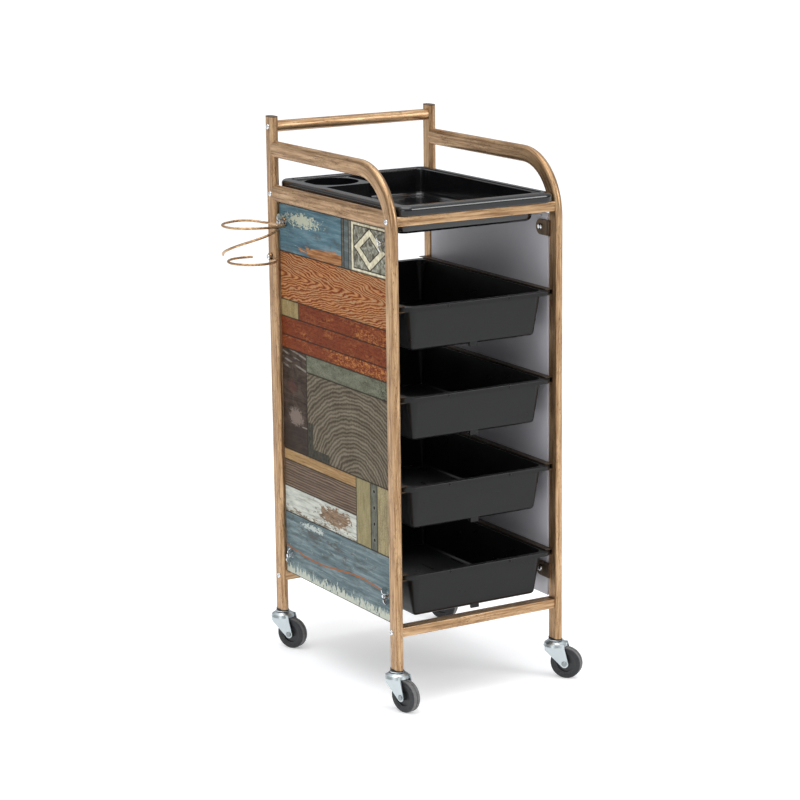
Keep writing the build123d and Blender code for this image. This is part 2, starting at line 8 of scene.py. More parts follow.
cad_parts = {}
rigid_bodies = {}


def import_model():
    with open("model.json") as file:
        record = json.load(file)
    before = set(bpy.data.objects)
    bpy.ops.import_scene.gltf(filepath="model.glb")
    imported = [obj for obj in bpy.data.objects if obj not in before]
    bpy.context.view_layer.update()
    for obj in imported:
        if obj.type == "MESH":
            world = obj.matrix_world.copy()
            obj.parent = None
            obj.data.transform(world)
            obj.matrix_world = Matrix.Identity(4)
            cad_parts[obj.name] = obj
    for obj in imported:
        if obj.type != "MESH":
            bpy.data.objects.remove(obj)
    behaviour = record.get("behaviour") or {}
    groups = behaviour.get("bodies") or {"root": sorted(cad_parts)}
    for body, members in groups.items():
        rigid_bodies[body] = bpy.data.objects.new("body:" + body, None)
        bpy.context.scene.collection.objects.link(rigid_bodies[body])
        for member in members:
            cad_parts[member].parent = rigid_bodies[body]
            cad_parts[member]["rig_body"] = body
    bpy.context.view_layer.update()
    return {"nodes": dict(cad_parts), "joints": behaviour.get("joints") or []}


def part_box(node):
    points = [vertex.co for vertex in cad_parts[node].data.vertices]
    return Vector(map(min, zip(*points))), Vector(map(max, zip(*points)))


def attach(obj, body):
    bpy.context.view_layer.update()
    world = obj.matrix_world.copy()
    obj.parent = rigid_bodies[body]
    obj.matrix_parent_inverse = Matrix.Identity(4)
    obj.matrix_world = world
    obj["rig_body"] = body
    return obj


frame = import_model()
nodes = frame["nodes"]
corners = ("front_left", "front_right", "rear_left", "rear_right")


def rgb(r, g, b, gain=1.0):
    """A display colour, 0 to 255, as linear light."""
    out = []
    for c in (r, g, b):
        c /= 255.0
        out.append(gain * (c / 12.92 if c <= 0.04045 else ((c + 0.055) / 1.055) ** 2.4))
    return (*out, 1.0)


class Graph:
    """A material's node tree.  Lengths are in millimetres in the object's own axes."""

    def __init__(self, name):
        self.material = bpy.data.materials.new(name)
        self.material.use_nodes = True
        self.tree = self.material.node_tree
        self.tree.nodes.clear()
        out = self.node("ShaderNodeOutputMaterial")
        self.shader = self.node("ShaderNodeBsdfPrincipled")
        self.tree.links.new(self.shader.outputs[0], out.inputs[0])
        self.where = self.node("ShaderNodeTexCoord").outputs
        self.mm = self.vector("SCALE", self.where["Object"], scale=1000.0)
        split = self.node("ShaderNodeSeparateXYZ")
        self.feed(split.inputs[0], self.mm)
        self.x, self.y, self.z = split.outputs

    def node(self, kind, **settings):
        made = self.tree.nodes.new(kind)
        for key, value in settings.items():
            setattr(made, key, value)
        return made

    def feed(self, socket, value):
        if isinstance(value, bpy.types.NodeSocket):
            self.tree.links.new(value, socket)
        else:
            socket.default_value = value

    def set(self, **values):
        for key, value in values.items():
            self.feed(self.shader.inputs[key.replace("_", " ")], value)
        return self

    def vector(self, operation, a, b=None, scale=None):
        made = self.node("ShaderNodeVectorMath", operation=operation)
        self.feed(made.inputs[0], a)
        if b is not None:
            self.feed(made.inputs[1], b)
        if scale is not None:
            self.feed(made.inputs["Scale"], scale)
        return made.outputs["Value" if operation in ("LENGTH", "DOT_PRODUCT") else "Vector"]

    def math(self, operation, a, b=0.0, c=None, clamp=False):
        made = self.node("ShaderNodeMath", operation=operation, use_clamp=clamp)
        self.feed(made.inputs[0], a)
        self.feed(made.inputs[1], b)
        if c is not None:
            self.feed(made.inputs[2], c)
        return made.outputs[0]

    def combine(self, x, y, z):
        made = self.node("ShaderNodeCombineXYZ")
        for socket, value in zip(made.inputs, (x, y, z)):
            self.feed(socket, value)
        return made.outputs[0]

    def at(self, size, seed=0.0, source=None):
        """Coordinates in units of size (x, y, z), moved by seed."""
        scaled = self.vector("MULTIPLY", source or self.mm, tuple(1.0 / s for s in size))
        return self.vector("ADD", scaled, (seed, seed * 1.7, seed * 2.3))

    def noise(self, size, seed=0.0, detail=4.0, rough=0.55, twist=0.0, source=None, colour=False):
        made = self.node("ShaderNodeTexNoise")
        self.feed(made.inputs["Vector"], self.at(size, seed, source))
        made.inputs["Scale"].default_value = 1.0
        made.inputs["Detail"].default_value = detail
        made.inputs["Roughness"].default_value = rough
        made.inputs["Distortion"].default_value = twist
        return made.outputs["Color" if colour else "Fac"]

    def warped(self, size, amount, seed=0.0, detail=2.0):
        """The coordinates pushed about by a noise, amount millimetres each way."""
        push = self.vector("SUBTRACT", self.noise(size, seed, detail, colour=True), (0.5, 0.5, 0.5))
        return self.vector("ADD", self.mm, self.vector("MULTIPLY", push, tuple(2.0 * a for a in amount)))

    def ramp(self, value, *stops):
        """stops are (place, colour) pairs; a colour is three display numbers or one linear grey."""
        made = self.node("ShaderNodeValToRGB")
        band = made.color_ramp
        while len(band.elements) < len(stops):
            band.elements.new(0.5)
        for element, (place, colour) in zip(band.elements, stops):
            element.position = place
            element.color = rgb(*colour) if isinstance(colour, tuple) else (colour, colour, colour, 1.0)
        self.feed(made.inputs[0], value)
        return made.outputs[0]

    def step(self, value, low, high):
        """0 below low, 1 above high, smooth between."""
        made = self.node("ShaderNodeMapRange", interpolation_type="SMOOTHSTEP")
        for socket, number in zip(list(made.inputs)[:5], (value, low, high, 0.0, 1.0)):
            self.feed(socket, number)
        return made.outputs[0]

    def mix(self, a, b, amount, blend="MIX"):
        made = self.node("ShaderNodeMix", data_type="RGBA", blend_type=blend)
        for socket, value in zip((made.inputs[0], made.inputs[6], made.inputs[7]), (amount, a, b)):
            self.feed(socket, rgb(*value) if isinstance(value, tuple) and len(value) == 3 else value)
        return made.outputs[2]

    def times(self, *factors):
        out = factors[0]
        for factor in factors[1:]:
            out = self.math("MULTIPLY", out, factor)
        return out

    def blob(self, y, z, ry, rz, source=None):
        """1 in the middle of an ellipse in the side view, falling to 0 at its edge and below 0 outside."""
        off = self.vector("SUBTRACT", source or self.mm, (0.0, y, z))
        off = self.vector("MULTIPLY", off, (0.0, 1.0 / ry, 1.0 / rz))
        return self.math("SUBTRACT", 1.0, self.vector("LENGTH", off))

    def bump(self, height, depth, strength=1.0):
        made = self.node("ShaderNodeBump")
        made.inputs["Strength"].default_value = strength
        made.inputs["Distance"].default_value = depth / 1000.0
        self.feed(made.inputs["Height"], height)
        self.feed(self.shader.inputs["Normal"], made.outputs[0])
        return self


def coat(names, material):
    for name in names:
        data = nodes[name].data
        data.materials.clear()
        data.materials.append(material)


# ---------------------------------------------------------------- bronze paint
tube_half = 0.013  # half the flat-oval tube's depth, metres
post_y = (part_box("left_hoop_tube")[0].y + tube_half) * 1000.0
bend_radius = 88.0
hoop_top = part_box("left_hoop_tube")[1].z * 1000.0
bend_centre = (post_y + bend_radius, hoop_top - tube_half * 1000.0 - bend_radius)


def bronze(name, run, tone=1.0):
    """Antique bronze paint with fine dark dashes drawn out along the tube: run is x, y, z or hoop."""
    g = Graph(name)
    place = g.mm
    if run == "hoop":
        back = g.math("MAXIMUM", g.math("SUBTRACT", bend_centre[0], g.y), 0.0)
        rise = g.math("MAXIMUM", g.math("SUBTRACT", g.z, bend_centre[1]), 0.0)
        turn = g.math("ARCTAN2", rise, g.math("ADD", back, 0.001))
        along = g.math("ADD", g.math("MINIMUM", g.z, bend_centre[1]), g.math("MULTIPLY", turn, bend_radius))
        along = g.math("ADD", along, g.math("MAXIMUM", g.math("SUBTRACT", g.y, bend_centre[0]), 0.0))
        across = g.math("SQRT", g.math("ADD", g.times(back, back), g.times(rise, rise)))
        place = g.combine(g.x, across, along)
        run = "z"

    def stretched(length, width):
        return tuple(length if axis == run else width for axis in "xyz")

    long_streak = g.noise(stretched(60.0, 3.2), 3.1, 5.0, 0.62, 0.15, place)
    dashes = g.noise(stretched(6.5, 0.7), 9.4, 4.0, 0.6, 0.1, place)
    patches = g.noise(stretched(45.0, 16.0), 5.7, 3.0, 0.5, 0.0, place)
    grain = g.noise(stretched(3.0, 0.5), 1.3, 3.0, 0.6, 0.0, place)
    t = tone
    base = g.ramp(long_streak, (0.26, (112 * t, 84 * t, 58 * t)), (0.42, (154 * t, 120 * t, 86 * t)),
                  (0.58, (190 * t, 156 * t, 118 * t)), (0.76, (216 * t, 184 * t, 146 * t)))
    dark = g.times(g.step(dashes, 0.54, 0.66), g.step(patches, 0.36, 0.6))
    colour = g.mix(base, (66 * t, 47 * t, 34 * t), g.times(dark, 0.9))
    colour = g.mix(colour, (232 * t, 196 * t, 144 * t), g.times(g.step(grain, 0.6, 0.78), 0.22))
    g.set(Base_Color=colour, Metallic=0.78, Specular_IOR_Level=0.5)
    g.set(Roughness=g.math("MULTIPLY_ADD", dark, 0.2, g.math("MULTIPLY_ADD", long_streak, 0.12, 0.3)))
    return g.bump(g.math("ADD", g.times(dark, -0.5), g.times(grain, 0.35)), 0.12, 0.6).material


hoop_bronze = bronze("bronze_bent_tube", "hoop")
coat(("left_hoop_tube", "right_hoop_tube"), hoop_bronze)
coat(("left_rear_post", "right_rear_post"), bronze("bronze_post", "z"))
coat(("left_side_rail", "right_side_rail"), bronze("bronze_side_rail", "y"))
cross_names = ("front_upper_rail", "front_lower_rail", "rear_upper_rail", "rear_lower_rail", "rear_top_rod")
coat(cross_names, bronze("bronze_cross_rail", "x"))
slide_names = [f"{side}_slide_{i}" for side in ("left", "right") for i in range(1, 5)]
# the slides take the bronze at half tone: painted shade for the shadow inside the channels
coat(slide_names, bronze("bronze_slide_painted_shade", "y", 0.5))
coat(("panel_tabs", "post_caps"), bronze("bronze_tab", "z", 0.6))
coat(("dryer_spiral", "dryer_ring"), bronze("bronze_wire", "y", 1.06))


# ------------------------------------------------------------- bright metals
def plated(name, tint, roughness, brush):
    g = Graph(name)
    lines = g.noise(brush, 2.2, 4.0, 0.6)
    cloud = g.noise((14.0, 14.0, 14.0), 7.5, 3.0, 0.5)
    shade = g.math("MULTIPLY_ADD", lines, 0.10, g.times(cloud, 0.16))
    g.set(Base_Color=g.mix(rgb(*tint), rgb(*(c * 0.8 for c in tint)), shade), Metallic=1.0)
    g.set(Roughness=g.math("MULTIPLY_ADD", cloud, 0.14, g.math("MULTIPLY_ADD", lines, 0.08, roughness)))
    return g.bump(lines, 0.01, 0.35).material


chrome = plated("bright_nickel", (226, 229, 232), 0.08, (2.0, 2.0, 0.8))
zinc = plated("zinc_steel", (206, 211, 214), 0.17, (3.0, 3.0, 0.6))
coat(("frame_screws", "panel_bolts", "wing_nuts", "ring_screw"), chrome)
coat(("thread_inserts", "caster_stems"), zinc)
coat([f"axle_{c}" for c in corners], plated("axle_steel", (150, 156, 158), 0.2, (2.0, 2.0, 0.8)))
coat([f"fork_{c}" for c in corners], plated("fork_plate", (196, 205, 208), 0.24, (6.0, 6.0, 0.9)))


# ------------------------------------------------------------ moulded plastic
def plastic(name, dark, light, roughness, texture, depth, clear=0.0, shine=0.42):
    """Black plastic: flow marks and clouds in colour and gloss, a fine moulded texture, small scuffs."""
    g = Graph(name)
    cloud = g.noise((55.0, 55.0, 30.0), 4.2, 4.0, 0.55, 0.4)
    fine = g.noise((texture, texture, texture), 8.8, 3.0, 0.6)
    scuff = g.step(g.noise((26.0, 2.2, 1.4), 6.1, 5.0, 0.65, 0.5), 0.64, 0.74)
    colour = g.ramp(g.math("MULTIPLY_ADD", fine, 0.35, g.times(cloud, 0.65)), (0.3, dark), (0.7, light))
    g.set(Base_Color=g.mix(colour, tuple(min(255, c * 1.5 + 8) for c in light), g.times(scuff, 0.25)))
    rough = g.math("MULTIPLY_ADD", g.math("SUBTRACT", cloud, 0.5), 0.16, roughness)
    g.set(Roughness=g.math("MULTIPLY_ADD", scuff, 0.12, rough), Specular_IOR_Level=shine, Coat_Weight=clear)
    g.shader.inputs["Coat Roughness"].default_value = 0.08
    return g.bump(g.math("ADD", fine, g.times(cloud, 0.6)), depth, 0.7).material


coat([f"drawer_{i}" for i in range(1, 5)],
        plastic("drawer_plastic", (13, 13, 13), (20, 20, 20), 0.3, 0.9, 0.03, 0.0, 0.26))
coat(("top_tray",), plastic("tray_plastic", (10, 10, 12), (17, 17, 19), 0.17, 1.6, 0.012, 0.4))
coat(("caster_sleeves",), plastic("sleeve_plastic", (18, 18, 19), (30, 30, 31), 0.4, 0.8, 0.03))


# --------------------------------------------------------------------- wheels
def rubber(name, axis):
    """Grey rubber: dark side walls and a paler, rubbed tread with dust in its texture."""
    g = Graph(name)
    facing = g.math("ABSOLUTE", g.vector("DOT_PRODUCT", g.where["Normal"], axis))
    side = g.step(facing, 0.35, 0.8)
    fine = g.noise((0.7, 0.7, 0.7), 3.3, 4.0, 0.65)
    dust = g.noise((5.0, 5.0, 5.0), 8.1, 5.0, 0.6, 0.5)
    tread = g.ramp(g.math("MULTIPLY_ADD", fine, 0.5, g.times(dust, 0.5)), (0.3, (70, 70, 71)),
            (0.72, (128, 127, 126)))
    wall = g.ramp(g.math("MULTIPLY_ADD", fine, 0.3, g.times(dust, 0.7)), (0.3, (34, 35, 37)),
            (0.75, (58, 59, 61)))
    g.set(Base_Color=g.mix(tread, wall, side), Specular_IOR_Level=0.35)
    g.set(Roughness=g.math("MULTIPLY_ADD", side, -0.16, g.math("MULTIPLY_ADD", dust, 0.2, 0.55)))
    return g.bump(g.math("MULTIPLY_ADD", fine, 0.8, dust), 0.08, 0.6).material


core_plastic = plastic("wheel_core_plastic", (38, 39, 41), (58, 59, 61), 0.42, 0.8, 0.04)
for joint in frame["joints"]:
    if joint["name"].startswith("wheel_"):
        corner = joint["child"][len("wheel_"):]
        coat((f"tyre_{corner}",), rubber(f"tyre_rubber_{corner}", tuple(joint["axis"])))
        coat((f"wheel_core_{corner}",), core_plastic)


# --------------------------------------------------------- printed side panels
def white_laminate():
    g = Graph("white_laminate")
    cloud = g.noise((90.0, 90.0, 120.0), 2.9, 4.0, 0.5)
    peel = g.noise((2.2, 2.2, 2.2), 6.6, 2.0, 0.5)
    specks = g.step(g.noise((1.6, 1.6, 1.6), 4.4, 3.0, 0.6), 0.72, 0.8)
    colour = g.ramp(cloud, (0.3, (204, 203, 210)), (0.7, (214, 213, 219)))
    g.set(Base_Color=g.mix(colour, (176, 172, 176), g.times(specks, 0.35)))
    g.set(Roughness=g.math("MULTIPLY_ADD", cloud, 0.12, 0.3))
    return g.bump(peel, 0.02, 0.5).material


coat(("left_panel", "right_panel"), white_laminate())


panel_lo, panel_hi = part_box("left_panel")
panel_y = ((panel_lo.y + panel_hi.y) * 500.0, (panel_hi.y - panel_lo.y) * 500.0)  # middle and half, mm
y_mid = panel_y[0]
rear, front = panel_y[1], -panel_y[1]
foot, head = 138.0, 138.0 + (panel_hi.z - panel_lo.z) * 1000.0
lift = panel_lo.z * 1000.0 - foot  # the boards' heights count from 138 at the panel's lower edge

# board: rear edge, front edge, lower edge, upper edge; y counts from the panel's middle
boards = {
    "blue_top": (rear, -29.0, 668.0, head),
    "strip_dark": (-29.0, -36.5, 668.0, head),
    "strip_blue": (-36.5, -51.0, 668.0, head),
    "strip_pale": (-51.0, -58.5, 668.0, head),
    "lozenge": (-58.5, front, 668.0, head),
    "orange_wavy": (rear, front, 591.0, 668.0),
    "yellow_block": (rear, 114.0, 563.5, 591.0),
    "red_upper": (114.0, front, 563.5, 591.0),
    "red_middle": (rear, front, 533.5, 563.5),
    "red_lower": (rear, front, 512.0, 533.5),
    "dark_block": (rear, 91.5, 346.5, 512.0),
    "green_strip": (91.5, front, 483.0, 512.0),
    "grey_curved": (91.5, front, 346.5, 483.0),
    "ochre": (rear, -62.5, 328.0, 346.5),
    "striped": (rear, -62.5, 284.5, 328.0),
    "white_flaked": (rear, -62.5, 240.5, 284.5),
    "olive": (-62.5, -107.0, 240.5, 346.5),
    "metal_strip": (-107.0, -127.0, 240.5, 346.5),
    "olive_front": (-127.0, front, 240.5, 346.5),
    "blue_bottom": (rear, front, foot, 240.5),
}


# how much of each board's colour is kept, red, green and blue; boards not named keep usual_gain
usual_gain = (0.8, 0.8, 0.8)
gains = {
    "lozenge": (1.25, 1.2, 1.1),
    "orange_wavy": (0.78, 0.72, 0.62),
    "red_upper": (0.72, 0.62, 0.5),
    "red_middle": (0.72, 0.62, 0.5),
    "red_lower": (0.76, 0.66, 0.54),
    "dark_block": (0.64, 0.6, 0.57),
    "grey_curved": (0.62, 0.6, 0.56),
    "striped": (0.98, 0.95, 0.88),
    "white_flaked": (0.9, 0.9, 0.9),
}


class Board(Graph):
    """A printed board: its coordinates run from the panel's middle, y towards the rear."""

    def __init__(self, name):
        super().__init__("print_" + name)
        self.name = name
        self.mm = self.vector("SUBTRACT", self.mm, (0.0, y_mid, lift))
        self.mm = self.vector("MULTIPLY", self.mm, (0.0, 1.0, 1.0))
        split = self.node("ShaderNodeSeparateXYZ")
        self.feed(split.inputs[0], self.mm)
        self.x, self.y, self.z = split.outputs

    def seam(self, width=1.1):
        """1 in the dark line along the board's edges."""
        r, f, lo, hi = boards[self.name]
        wobble = self.times(self.noise((7.0, 7.0, 7.0), 2.0, 3.0), 1.3)
        gap = self.math("SUBTRACT", r, self.y)
        for other in (self.math("SUBTRACT", self.y, f), self.math("SUBTRACT", self.z, lo),
                      self.math("SUBTRACT", hi, self.z)):
            gap = self.math("MINIMUM", gap, other)
        gap = self.math("SUBTRACT", gap, wobble)
        return self.math("SUBTRACT", 1.0, self.step(gap, -0.1, width))

    def done(self, colour, relief=None, seam=1.1, line=(44, 36, 28), gloss=0.4):
        if seam:
            colour = self.mix(colour, line, self.times(self.seam(seam), 0.88))
        gain = self.combine(*gains.get(self.name, usual_gain))
        colour = self.mix(colour, gain, 1.0, "MULTIPLY")
        film = self.noise((30.0, 30.0, 30.0), 9.9, 3.0)
        self.set(Base_Color=colour, Roughness=self.math("MULTIPLY_ADD", film, 0.1, gloss),
                Specular_IOR_Level=0.05)
        return self.bump(relief if relief else self.noise((3.0, 3.0, 3.0), 1.1), 0.03, 0.4).material


def painted(name, low, middle, high, flakes, gloss=0.4):
    """Old blue paint on a board: lengthwise streaks, scratches, and flaked places given by flakes(g)."""
    g = Board(name)
    streak = g.noise((70.0, 70.0, 5.5), 1.4, 6.0, 0.62, 0.3)
    stain = g.noise((48.0, 34.0, 13.0), 7.7, 5.0, 0.6, 0.6)
    colour = g.ramp(streak, (0.3, low), (0.5, middle), (0.7, high))
    colour = g.mix(colour, (86, 84, 78), g.times(g.step(stain, 0.52, 0.72), 0.62))
    fine = g.noise((9.0, 9.0, 0.9), 3.6, 4.0, 0.6)
    colour = g.mix(colour, tuple(c * 0.72 for c in low), g.times(g.step(fine, 0.56, 0.72), 0.5))
    scratch = g.noise((38.0, 30.0, 1.5), 5.2, 3.0, 0.5, 0.25)
    colour = g.mix(colour, (188, 198, 198), g.times(g.step(scratch, 0.68, 0.75), 0.75))
    return g.done(flakes(g, colour), g.math("ADD", fine, streak), gloss=gloss)


def flake(g, colour, paint, zone, size, seed, low, high):
    """Bare or flaked patches: a noise that wins where zone, a field, is high."""
    rag = g.noise(size, seed, 7.0, 0.66, 0.7)
    mask = g.step(g.math("ADD", rag, zone), low, high)
    return g.mix(colour, paint, mask)


def top_flakes(g, colour):
    wood = g.ramp(g.noise((40.0, 40.0, 2.6), 2.7, 5.0, 0.6, 0.4), (0.34, (122, 76, 42)),
            (0.5, (164, 112, 70)), (0.68, (196, 148, 104)))
    zone = g.times(g.blob(12.0, 677.0, 105.0, 13.0), 0.62)
    colour = flake(g, colour, wood, zone, (26.0, 22.0, 4.0), 3.9, 0.6, 0.66)
    zone = g.times(g.blob(95.0, 723.0, 92.0, 17.0), 0.34)
    colour = flake(g, colour, (194, 197, 176), zone, (9.0, 8.0, 4.2), 6.3, 0.64, 0.69)
    return flake(g, colour, (170, 182, 178), 0.0, (14.0, 12.0, 2.6), 1.9, 0.66, 0.7)


def bottom_flakes(g, colour):
    track = g.math("SUBTRACT", g.z, g.math("MULTIPLY_ADD", g.math("SINE", g.times(g.y, 0.021)), -5.0, 179.0))
    track = g.math("SUBTRACT", track, g.times(g.noise((22.0, 22.0, 22.0), 8.3), 5.0))
    near = g.math("SUBTRACT", 1.0, g.step(g.math("ABSOLUTE", track), 0.4, 2.2))
    gate = g.step(g.noise((40.0, 26.0, 10.0), 4.9), 0.3, 0.44)
    colour = g.mix(colour, (168, 104, 62), g.times(near, gate))
    zone = g.step(g.z, 166.0, 138.0)
    colour = flake(g, colour, (206, 211, 196), g.times(zone, 0.28), (7.0, 6.0, 13.0), 2.4, 0.66, 0.71)
    zone = g.times(g.blob(78.0, 230.0, 60.0, 8.0), 0.4)
    colour = flake(g, colour, (196, 204, 198), zone, (12.0, 10.0, 2.8), 7.3, 0.66, 0.7)
    return flake(g, colour, (96, 98, 96), g.times(g.blob(60.0, 214.0, 120.0, 20.0), 0.16), (24.0, 22.0, 4.0),
            5.5, 0.6, 0.68)


def wavy_orange(name):
    g = Board(name)
    moved = g.warped((46.0, 52.0, 16.0), (0.0, 22.0, 9.0), 3.3, 4.0)
    split = g.node("ShaderNodeSeparateXYZ")
    g.feed(split.inputs[0], moved)
    y, z = split.outputs[1], split.outputs[2]
    off = g.math("DIVIDE", g.math("SUBTRACT", z, 631.0), 4.6)
    spread = g.math("SQRT", g.math("ADD", g.times(off, off), 0.35))
    rings = g.math("ADD", spread, g.math("DIVIDE", g.math("MULTIPLY", y, -1.0), 30.0))
    band = g.math("MULTIPLY_ADD", g.math("SINE", g.times(rings, 7.2)), 0.5, 0.5)
    fibre = g.noise((26.0, 30.0, 0.9), 6.4, 4.0, 0.6)
    tone = g.noise((90.0, 90.0, 14.0), 1.9, 4.0, 0.6, 0.5)
    both = g.math("MULTIPLY_ADD", fibre, 0.42, g.times(band, 0.46))
    both = g.math("MULTIPLY_ADD", tone, 0.22, both)
    colour = g.ramp(both, (0.24, (98, 44, 22)), (0.4, (140, 78, 42)), (0.56, (172, 112, 68)),
            (0.8, (200, 150, 106)))
    cool = g.times(g.step(band, 0.72, 0.98), g.step(tone, 0.44, 0.6))
    colour = g.mix(colour, (150, 148, 128), g.times(cool, 0.6))
    red = g.times(g.step(g.math("SUBTRACT", 1.0, band), 0.75, 1.0),
            g.step(g.noise((80.0, 60.0, 16.0), 7.1), 0.46, 0.6))
    colour = g.mix(colour, (116, 42, 26), g.times(red, 0.7))
    return g.done(colour, g.math("ADD", band, fibre))


def chatoyant(name, seed, glow):
    """Red-brown burl whose figure shines gold in patches; glow is how far the gold spreads."""
    g = Board(name)
    moved = g.warped((16.0, 16.0, 8.0), (0.0, 9.0, 5.0), seed, 3.0)
    streak = g.noise((60.0, 60.0, 2.6), seed + 1.0, 5.0, 0.6, 0.3)
    figure = g.noise((9.0, 9.0, 3.0), seed + 2.0, 5.0, 0.62, 1.2, moved)
    pores = g.noise((5.0, 5.0, 0.8), seed + 4.0, 3.0, 0.6)
    tone = g.noise((70.0, 60.0, 22.0), seed + 3.0, 3.0, 0.5)
    gate = g.math("MULTIPLY_ADD", tone, 0.7, g.times(g.step(g.y, 130.0, -150.0), glow))
    value = g.math("MULTIPLY_ADD", streak, 0.4, g.times(figure, 0.6))
    colour = g.ramp(value, (0.32, (82, 34, 15)), (0.46, (118, 56, 31)), (0.58, (142, 76, 44)),
            (0.74, (172, 106, 66)))
    gold = g.times(g.step(figure, 0.47, 0.62), g.step(gate, 0.36, 0.56))
    colour = g.mix(colour, (206, 146, 88), g.times(gold, 0.85))
    colour = g.mix(colour, (60, 26, 14), g.times(g.step(pores, 0.57, 0.7), 0.55))
    return g.done(colour, value)


def dark_block(name):
    g = Board(name)
    smoke = g.noise((34.0, 30.0, 18.0), 5.1, 6.0, 0.64, 0.9)
    streak = g.noise((40.0, 40.0, 2.4), 2.6, 4.0, 0.6, 0.4)
    colour = g.ramp(g.math("MULTIPLY_ADD", streak, 0.35, g.times(smoke, 0.65)), (0.34, (46, 35, 29)),
            (0.5, (78, 65, 57)), (0.68, (104, 92, 84)))
    fan = g.math("ADD", g.z, g.times(g.y, -0.16))
    rib = g.math("MULTIPLY_ADD", g.math("SINE", g.times(fan, 0.62)), 0.5, 0.5)
    lit = g.times(g.step(rib, 0.55, 0.95), g.step(g.z, 474.0, 486.0),
            g.step(g.noise((30.0, 26.0, 9.0), 3.8), 0.4, 0.55))
    colour = g.mix(colour, (168, 164, 156), g.times(lit, 0.75))
    shine = g.math("ADD", g.blob(128.0, 404.0, 44.0, 26.0),
            g.times(g.noise((9.0, 9.0, 4.5), 6.9, 6.0, 0.66, 1.2), 1.3))
    colour = g.mix(colour, (150, 138, 130), g.times(g.step(shine, 1.02, 1.3), 0.85))
    red = g.math("ADD", g.blob(140.0, 452.0, 30.0, 30.0), g.times(g.noise((12.0, 12.0, 12.0), 4.0, 4.0), 0.9))
    colour = g.mix(colour, (112, 62, 54), g.times(g.step(red, 0.95, 1.25), 0.4))
    ledge = g.math("SUBTRACT", 1.0, g.step(g.math("ABSOLUTE", g.math("SUBTRACT", g.z, 391.0)), 0.5, 1.8))
    colour = g.mix(colour, (158, 152, 146),
            g.times(ledge, g.step(g.noise((26.0, 20.0, 9.0), 8.8), 0.42, 0.52), 0.8))
    lower = g.math("SUBTRACT", 1.0, g.step(g.z, 384.0, 392.0))
    return g.done(g.mix(colour, (58, 49, 44), g.times(lower, 0.55)), smoke)


def green_strip(name):
    g = Board(name)
    speck = g.noise((3.4, 3.0, 1.8), 2.3, 5.0, 0.66)
    cloud = g.noise((40.0, 30.0, 9.0), 6.2, 4.0, 0.6, 0.5)
    colour = g.ramp(g.math("MULTIPLY_ADD", speck, 0.55, g.times(cloud, 0.45)), (0.34, (72, 70, 56)),
            (0.5, (108, 110, 92)), (0.66, (136, 137, 118)))
    spots = g.math("ADD", g.noise((4.5, 4.5, 3.4), 9.1, 5.0, 0.66), g.times(g.step(g.y, -110.0, -165.0), 0.1))
    return g.done(g.mix(colour, (48, 44, 34), g.times(g.step(spots, 0.6, 0.68), 0.85)), speck, 1.6)


def curved_grey(name):
    """Weathered board: growth rings flat at the top and turning down at the rear, crossed by saw marks."""
    g = Board(name)
    moved = g.warped((40.0, 30.0, 24.0), (0.0, 9.0, 6.0), 4.6, 3.0)
    off = g.vector("MULTIPLY", g.vector("SUBTRACT", moved, (0.0, -66.0, 318.0)), (0.0, 0.8, 1.0))
    radius = g.vector("LENGTH", off)
    band = g.math("MULTIPLY_ADD", g.math("SINE", g.times(radius, 1.02)), 0.5, 0.5)
    wide = g.math("MULTIPLY_ADD", g.math("SINE", g.times(radius, 0.31)), 0.5, 0.5)
    saw = g.math("MULTIPLY_ADD", g.math("SINE", g.times(g.y, 1.25)), 0.5, 0.5)
    fibre = g.noise((2.0, 2.0, 2.4), 1.2, 7.0, 0.72)
    tone = g.noise((50.0, 44.0, 30.0), 7.9, 3.0, 0.5)
    value = g.math("MULTIPLY_ADD", fibre, 0.44, g.times(band, 0.26))
    value = g.math("MULTIPLY_ADD", wide, 0.1, g.math("MULTIPLY_ADD", saw, 0.07, value))
    value = g.math("MULTIPLY_ADD", tone, 0.24, value)
    colour = g.ramp(value, (0.3, (68, 57, 46)), (0.45, (96, 86, 73)), (0.6, (124, 115, 99)),
            (0.8, (158, 150, 134)))
    # the dark bracket in the board's lower rear corner
    up = g.times(g.step(g.y, 72.5, 74.0), g.math("SUBTRACT", 1.0, g.step(g.z, 402.0, 404.0)))
    foot_part = g.times(g.step(g.y, 20.0, 22.0), g.math("SUBTRACT", 1.0, g.step(g.z, 361.0, 362.5)))
    bracket = g.math("MAXIMUM", up, foot_part)
    plate = g.ramp(g.noise((6.0, 6.0, 6.0), 5.9, 5.0, 0.6), (0.35, (50, 48, 42)), (0.7, (84, 83, 74)))
    return g.done(g.mix(colour, plate, g.times(bracket, 0.9)), value)


def long_grain(name, seed, stops, width, wave=0.0):
    """A plain board with lengthwise streaks, and ripples if wave is given."""
    g = Board(name)
    moved = g.warped((70.0, 70.0, 18.0), (0.0, 8.0, 2.6), seed, 2.0)
    streak = g.noise((90.0, 90.0, width), seed + 1.0, 5.0, 0.6, 0.2, moved)
    fine = g.noise((22.0, 24.0, width * 0.3), seed + 2.0, 4.0, 0.6, 0.0, moved)
    value = g.math("MULTIPLY_ADD", fine, 0.4, g.times(streak, 0.6))
    if wave:
        split = g.node("ShaderNodeSeparateXYZ")
        g.feed(split.inputs[0], moved)
        ripple = g.math("SINE", g.times(split.outputs[2], 6.2832 / wave))
        value = g.math("MULTIPLY_ADD", ripple, 0.09, value)
    return g.done(g.ramp(value, *stops), value)


